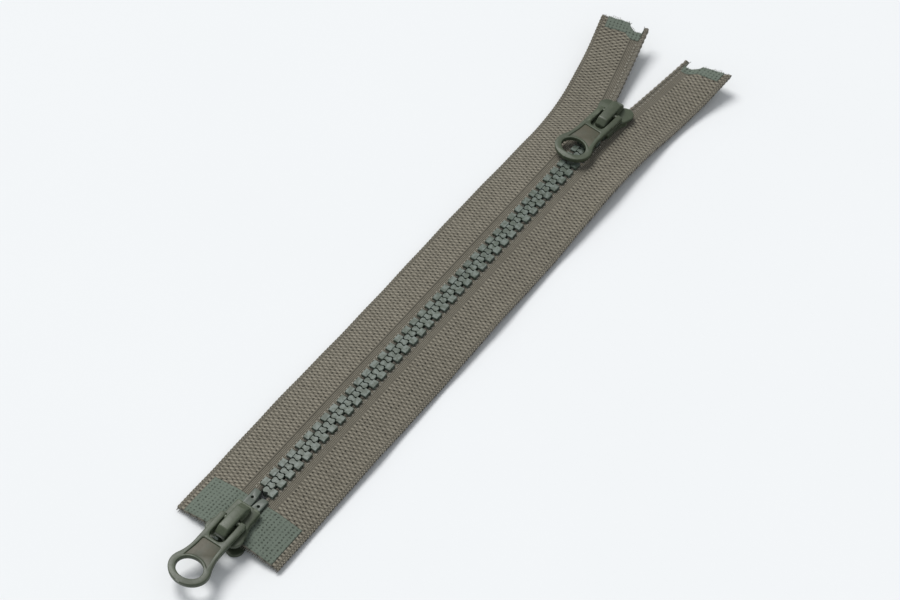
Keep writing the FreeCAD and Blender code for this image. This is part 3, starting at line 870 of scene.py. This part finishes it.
def make_cut_threads(side, end_name):
    """Short ends of yarn that stand out of a cut edge of the tape."""
    name = SIDE_NAMES[side]
    bm = bmesh.new()
    for i in range(THREAD_COUNT):
        across = TAPE_EDGE + (TAPE_REACH - TAPE_EDGE) * (i + 0.5) / THREAD_COUNT
        length = (0.25 + 0.55 * abs(math.sin(i * 4.7)) ** 3) * MM
        if end_name == "lower":
            root, tip = 0.3 * MM, -length
        else:
            root = top_end_station(side, across) - 0.3 * MM
            tip = root + 0.3 * MM + length
        above = 0.17 * MM * math.sin(i * 7.1)
        lean = 0.30 * MM * math.sin(i * 12.9)
        start = stringer_point(side, across, root, above)
        aside = min(max(across + lean, TAPE_EDGE), TAPE_REACH - 0.3 * MM)
        end = stringer_point(side, aside, tip, above + 0.22 * MM * math.sin(i * 3.3))
        bar(bm, start, end, THREAD_RADIUS, 6)
    layer = bm.loops.layers.uv.new("weave_mm")
    for face in bm.faces:
        for loop in face.loops:
            loop[layer].uv = (-1.2, loop.vert.co.y / MM * 2)
    piece = finish_mesh("{}_cut_threads_{}".format(name, end_name), bm, CORD)
    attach(piece, name + "_" + end_name)


# ---------------------------------------------------------------- teeth

def head_outline():
    """Head and neck of a right-row tooth: waisted, widest past the middle, blunt at the tip."""
    half = [(SHOULDER_X + 0.3 * MM, 0.60 * MM), (SHOULDER_X, 0.60 * MM), (0.62 * MM, 0.56 * MM)]
    half += [(0.30 * MM, 0.60 * MM), (0.02 * MM, 0.76 * MM), (-0.22 * MM, 0.87 * MM)]
    half += [(-0.52 * MM, 0.87 * MM), (-0.78 * MM, 0.70 * MM), (-HEAD_REACH, 0.34 * MM)]
    return half + [(x, -y) for x, y in reversed(half)]


def tooth_mesh():
    """One right-row tooth about its own middle: square body with a lower hooked head."""
    bm = bmesh.new()
    body = bmesh.ops.create_cube(bm, size=1.0)["verts"]
    size = (TOOTH_OUTER - SHOULDER_X, 2 * BODY_HALF, 2 * TOOTH_HALF_HEIGHT)
    bmesh.ops.scale(bm, verts=body, vec=size)
    bmesh.ops.translate(bm, verts=body, vec=((TOOTH_OUTER + SHOULDER_X) / 2, 0, 0))
    bevel_edges(bm, list(bm.edges), 0.10 * MM, 1)
    before = set(bm.edges)
    prism(bm, head_outline(), -HEAD_HALF_HEIGHT, HEAD_HALF_HEIGHT)
    made = [e for e in bm.edges if e not in before]
    flat = [e for e in made if abs(e.verts[0].co.z - e.verts[1].co.z) < 1e-7]
    rims = [e for e in flat if min(v.co.x for v in e.verts) < SHOULDER_X - 1e-6]
    bevel_edges(bm, rims, 0.07 * MM, 1)
    mesh = bpy.data.meshes.new("tooth_pattern")
    bm.to_mesh(mesh)
    bm.free()
    return mesh


def make_teeth(side, end_name, start, end, pattern):
    """A row of copies of one tooth, mirrored for the left side."""
    name = SIDE_NAMES[side]
    bm = bmesh.new()
    for i in range(TOOTH_COUNT[side]):
        station = FIRST_TOOTH[side] + i * PITCH
        if not start <= station < end:
            continue
        before = len(bm.verts)
        bm.from_mesh(pattern)
        bm.verts.ensure_lookup_table()
        verts = bm.verts[before:]
        if side == LEFT:
            bmesh.ops.scale(bm, verts=verts, vec=(-1, 1, 1))
            bmesh.ops.reverse_faces(bm, faces=list({f for v in verts for f in v.link_faces}))
        bmesh.ops.translate(bm, verts=verts, vec=(0, FOOT_Y + station, MID_Z))
    piece = finish_mesh("{}_teeth_{}_row".format(name, end_name), bm, TEETH, 28)
    blend_to(piece)
    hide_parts(*replaced_nodes(name, "teeth", end_name))


# ---------------------------------------------------------------- end pins and films

def make_end_pin(side):
    """Flat moulded head with a small round hole, over a round pin that runs into the slider."""
    name = SIDE_NAMES[side]
    head_low, head_high = PIN_HEAD_START, PIN_HEAD_END[side]
    gap = 0.15 * MM
    outline = [(gap, head_low), (TOOTH_OUTER, head_low), (TOOTH_OUTER, head_high)]
    outline += [(SHOULDER_X - 0.2 * MM, head_high), (gap + 0.12 * MM, head_high - 2.2 * MM)]
    outline += [(gap, head_high - 3.2 * MM)]
    hole_centre = (1.5 * MM, head_high - 2.6 * MM)
    hole = arc_points(hole_centre, PIN_HOLE_RADIUS, PIN_HOLE_RADIUS, 0, 337.5, 15)
    bm = bmesh.new()
    rounded_plate(bm, [outline, hole], -TOOTH_HALF_HEIGHT, TOOTH_HALF_HEIGHT, 0.13 * MM)
    pin_x = CORD_X + 0.05 * MM
    bar(bm, (pin_x, -2.2 * MM, 0), (pin_x, head_low + 0.5 * MM, 0), PIN_RADIUS, 20)
    if side == LEFT:
        bmesh.ops.scale(bm, verts=bm.verts, vec=(-1, 1, 1))
        bmesh.ops.reverse_faces(bm, faces=bm.faces)
    bmesh.ops.translate(bm, verts=bm.verts, vec=(0, FOOT_Y, MID_Z))
    piece = finish_mesh(name + "_moulded_pin", bm, PINS)
    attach(piece, name + "_lower")
    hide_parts(name + "_end_pin")


def make_film(side, which):
    """Film on both faces of a tape end, close over the knit."""
    name = SIDE_NAMES[side]
    bm = bmesh.new()
    outer = FILM_OUTER
    if which == "bottom":
        start, end = BOTTOM_FILM
        body, inner, steps = "lower", 1.0 * MM, (38, 42)
    else:
        start, end = TAPE_LENGTH - TOP_FILM_LENGTH, TAPE_LENGTH
        body, inner, steps = "upper", 0.7 * MM, (38, 12)
    above = TAPE_THICKNESS / 2 + FILM_THICKNESS / 2
    for face_side in (1, -1):
        made = grid_on_tape(bm, side, (inner, outer), start, end, steps, face_side * above,
                            0.8, which == "top")
        if face_side < 0:
            bmesh.ops.reverse_faces(bm, faces=list(made))
    piece = finish_mesh("{}_{}_film_ribbon".format(name, which), bm, FILM, 180)
    thicken(piece, FILM_THICKNESS)
    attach(piece, name + "_" + body)
    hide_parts("{}_{}_film".format(name, which))


# ---------------------------------------------------------------- sliders

def slider_outline():
    """Plan of both plates: parallel, then flared to two round lobes with a notch between."""
    right = [(0, 0)] + arc_points((NARROW_HALF - 0.7 * MM, 0.7 * MM), 0.7 * MM, 0.7 * MM, -90, 0, 5)
    right += [(NARROW_HALF + 0.1 * MM, 4.4 * MM), (NARROW_HALF + 0.45 * MM, 6.0 * MM)]
    right += [(WIDE_HALF - 0.5 * MM, 8.0 * MM)]
    right += arc_points((2.95 * MM, 9.9 * MM), 2.55 * MM, 2.5 * MM, -10, 90, 9)
    right += [(1.6 * MM, 12.0 * MM), (0.8 * MM, 11.2 * MM), (0, 10.9 * MM)]
    return both_sides(right)


def slider_body(name, matrix):
    """Two plates joined by a wedge-shaped divider, with rails that leave a slot for each tape."""
    bm = bmesh.new()
    plate = PLATE_OUTER - CHANNEL_HALF_HEIGHT
    rounded_plate(bm, [slider_outline()], CHANNEL_HALF_HEIGHT, PLATE_OUTER, 0.3 * MM)
    rounded_plate(bm, [slider_outline()], -PLATE_OUTER, -CHANNEL_HALF_HEIGHT, 0.3 * MM)
    inside_plate = CHANNEL_HALF_HEIGHT + plate / 2
    rail_outside = [(2.8, 0.35), (3.55, 0.35), (3.65, 4.4), (4.15, 6.2), (4.95, 7.9)]
    rail_inside = [(4.65, 8.0), (3.92, 6.3), (3.05, 3.0), (2.8, 1.2)]
    rail = [(x * MM, y * MM) for x, y in rail_outside + rail_inside]
    for low, high in ((TAPE_SLOT_HALF, inside_plate), (-inside_plate, -TAPE_SLOT_HALF)):
        for flip in (1, -1):
            prism(bm, [(flip * x, y) for x, y in rail], low, high)
    divider = both_sides([(0, 6.9 * MM), (0.45 * MM, 9.0 * MM), (0.55 * MM, 10.3 * MM), (0, 10.8 * MM)])
    prism(bm, divider, -inside_plate, inside_plate)
    bmesh.ops.transform(bm, matrix=matrix, verts=bm.verts)
    piece = finish_mesh(name + "_slider_casting", bm, PAINT)
    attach(piece, name + "_slider")
    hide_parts(name + "_slider_body")


def slider_crown(name, matrix):
    """Rounded cap, sloped at both ends, arched over the pull's cross bar."""
    bm = bmesh.new()
    base = PLATE_OUTER - 0.05 * MM
    slope_run, slope_drop, arch_corner = 1.7 * MM, 1.3 * MM, 0.4 * MM
    slope_low = CROWN_TOP - slope_drop
    profile = [(CROWN_START, base), (CROWN_START, slope_low), (CROWN_START + slope_run, CROWN_TOP)]
    profile += [(CROWN_END - slope_run, CROWN_TOP), (CROWN_END, slope_low), (CROWN_END, base)]
    far, near = PIVOT_U + ARCH_HALF, PIVOT_U - ARCH_HALF
    profile += [(far, base), (far, ARCH_TOP - arch_corner), (far - arch_corner, ARCH_TOP)]
    profile += [(near + arch_corner, ARCH_TOP), (near, ARCH_TOP - arch_corner), (near, base)]
    prism(bm, profile, -CROWN_HALF, CROWN_HALF)
    turn = Matrix(((0, 0, 1, 0), (1, 0, 0, 0), (0, 1, 0, 0), (0, 0, 0, 1)))
    bmesh.ops.transform(bm, matrix=turn, verts=bm.verts)
    shoulder = slope_low - 1e-6
    rounded = [e for e in bm.edges if min(v.co.z for v in e.verts) >= shoulder
               and max(v.co.z for v in e.verts) > ARCH_TOP + 1e-5]
    ends = [e for e in bm.edges if any(all(abs(v.co.y - y) < 1e-6 for v in e.verts)
                                       for y in (CROWN_START, CROWN_END))]
    rounded = list(set(rounded + [e for e in ends if max(v.co.z for v in e.verts) > base + 1e-5]))
    bevel_edges(bm, rounded, 0.38 * MM, 3)
    bmesh.ops.transform(bm, matrix=matrix, verts=bm.verts)
    piece = finish_mesh(name + "_slider_cap", bm, PAINT)
    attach(piece, name + "_slider")
    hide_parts(name + "_slider_crown")


def pull_outline():
    """Fork round the crown, a waisted neck tangent to the fork, and an elliptical ring."""
    corner = 1.6 * MM
    fork_top = 0.68 * MM
    right = [(0, -SLOT_END)]
    right += arc_points((SLOT_HALF - corner, -SLOT_END + corner), corner, corner, -90, 0, 8)
    right += [(SLOT_HALF, fork_top), (HEAD_HALF - 0.35 * MM, fork_top), (HEAD_HALF, fork_top - 0.35 * MM)]
    join = 1.8 * MM
    join_half = RING_HALF_WIDTH * math.sqrt(1 - (join / RING_HALF_LENGTH) ** 2)
    turn = math.atan((RING_HALF_WIDTH / RING_HALF_LENGTH) ** 2 * join / join_half)
    run = (join_half - HEAD_HALF) / math.tan(turn / 2)
    radius = run / math.sin(turn)
    neck_start = RING_CENTRE - join - run
    for i in range(7):
        angle = turn * i / 6
        right.append((HEAD_HALF + radius * (1 - math.cos(angle)), -neck_start - radius * math.sin(angle)))
    start = math.degrees(math.asin(join / RING_HALF_LENGTH))
    right += arc_points((0, -RING_CENTRE), RING_HALF_WIDTH, RING_HALF_LENGTH, start, -90, 26)[1:-1]
    return both_sides(right + [(0, -RING_CENTRE - RING_HALF_LENGTH)])


def pull_panel(shrink):
    """Plain recessed panel between the slot and the ring's hole."""
    top = -SLOT_END - 0.9 * MM - shrink
    half = HEAD_HALF - 1.2 * MM - shrink
    low_half = half + 0.72 * MM
    reach_x = HOLE_HALF_WIDTH + 0.8 * MM + shrink
    reach_y = HOLE_HALF_LENGTH + 0.8 * MM + shrink
    angle = math.degrees(math.acos(min(1.0, low_half / reach_x)))
    right = [(0, top), (half - 0.25 * MM, top), (half, top - 0.25 * MM), (half + 0.1 * MM, -10.5 * MM)]
    right += arc_points((0, -RING_CENTRE), reach_x, reach_y, angle, 90, 8)
    return both_sides(right)


def make_pull(name, pivot, yaw):
    """Ring pull about its cross bar, with a sunk panel and a small casting nub on the ring."""
    bm = bmesh.new()
    half = PULL_THICKNESS / 2
    hole = arc_points((0, -RING_CENTRE), HOLE_HALF_WIDTH, HOLE_HALF_LENGTH, 0, 351, 39)
    rounded_plate(bm, [pull_outline(), hole, pull_panel(0.0)], -half, half, 0.24 * MM)
    rim_faces = len(bm.faces)
    floor_half = half - PANEL_DEPTH
    rounded_plate(bm, [pull_panel(-0.35 * MM)], -floor_half, floor_half, 0.02 * MM)
    bm.faces.ensure_lookup_table()
    for face in bm.faces[rim_faces:]:
        face.material_index = 1
    bar_end = SLOT_HALF + 0.3 * MM
    bar(bm, (-bar_end, 0, 0), (bar_end, 0, 0), CROSS_BAR_RADIUS)
    nub_at = Matrix.Translation((0, -RING_CENTRE - RING_HALF_LENGTH + 0.25 * MM, half - 0.12 * MM))
    nub_size = Matrix.Diagonal((1.1 * MM, 0.5 * MM, 0.35 * MM, 1))
    bmesh.ops.create_cube(bm, size=1.0, matrix=nub_at @ nub_size)
    place = Matrix.Translation(pivot) @ Matrix.Rotation(yaw, 4, "Z") @ Matrix.Rotation(PULL_TILT, 4, "X")
    bmesh.ops.transform(bm, matrix=place, verts=bm.verts)
    piece = finish_mesh(name + "_ring_pull", bm, PAINT)
    piece.data.materials.append(PANEL)
    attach(piece, name + "_pull")
    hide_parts(name + "_pull")


def paint_node(name, material):
    """A new material for a node that keeps its own shape."""
    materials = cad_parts[name].data.materials
    materials.clear()
    materials.append(material)


def make_slider(name, narrow_station, direction, yaw):
    place = Matrix.Translation((0, FOOT_Y + narrow_station, MID_Z))
    if direction < 0:
        place = place @ Matrix.Rotation(math.pi, 4, "Z")
    slider_body(name, place)
    slider_crown(name, place)
    pivot_y = FOOT_Y + narrow_station + direction * PIVOT_U
    make_pull(name, Vector((0, pivot_y, MID_Z + PIVOT_W)), yaw)
    paint_node(name + "_lock_spring", STEEL)


# ---------------------------------------------------------------- assembling

tooth_pattern = tooth_mesh()
for hand in (LEFT, RIGHT):
    for part_name, low, high in spans():
        make_tape(hand, part_name, low, high)
        make_cord(hand, part_name, low, high)
        make_margin_loops(hand, part_name, low, high)
        make_cut_threads(hand, part_name)
        make_teeth(hand, part_name, low, high, tooth_pattern)
    make_end_pin(hand)
    make_film(hand, "bottom")
    make_film(hand, "top")
    paint_node(SIDE_NAMES[hand] + "_top_stop", TEETH)
make_slider("top", TOP_NARROW, 1, TOP_PULL_YAW)
make_slider("bottom", BOTTOM_NARROW, -1, 0.0)


# ---------------------------------------------------------------- camera, light and table

TABLE_HALF_SIZE = 3.0


def add_camera():
    azimuth, elevation, roll = math.radians(34.2), math.radians(50.9), math.radians(1.5)
    distance = 0.618
    level = math.cos(elevation)
    back = Vector((math.sin(azimuth) * level, -math.cos(azimuth) * level, math.sin(elevation)))
    low, high = cad_box
    target = Vector((0.0, (low[1] + high[1]) / 2, 0.0))
    data = bpy.data.cameras.new("camera")
    data.sensor_width = 36.0
    data.lens = 92.5
    data.clip_start = 0.01
    data.clip_end = 20.0
    camera = add_object("camera", data)
    camera.rotation_mode = "QUATERNION"
    look = (-back).to_track_quat("-Z", "Y")
    camera.rotation_quaternion = look @ Matrix.Rotation(roll, 4, "Z").to_quaternion()
    camera.location = target + back * distance
    bpy.context.scene.camera = camera


def add_lights():
    world = bpy.data.worlds.new("studio")
    world.use_nodes = True
    background = world.node_tree.nodes["Background"]
    background.inputs["Color"].default_value = (0.93, 0.965, 1.0, 1)
    background.inputs["Strength"].default_value = 0.46
    bpy.context.scene.world = world
    key = bpy.data.lights.new("key", "SUN")
    key.energy = 2.45
    key.angle = math.radians(30)
    key.color = (1.0, 0.99, 0.975)
    lamp = add_object("key", key)
    lamp.rotation_mode = "QUATERNION"
    lamp.rotation_quaternion = Vector((0.62, -0.22, -1.0)).to_track_quat("-Z", "Y")


def add_floor():
    bm = bmesh.new()
    bmesh.ops.create_grid(bm, x_segments=2, y_segments=2, size=TABLE_HALF_SIZE)
    floor = finish_mesh("table_top", bm, floor_material())


add_camera()
add_lights()
add_floor()
bpy.context.scene.view_settings.view_transform = "Standard"
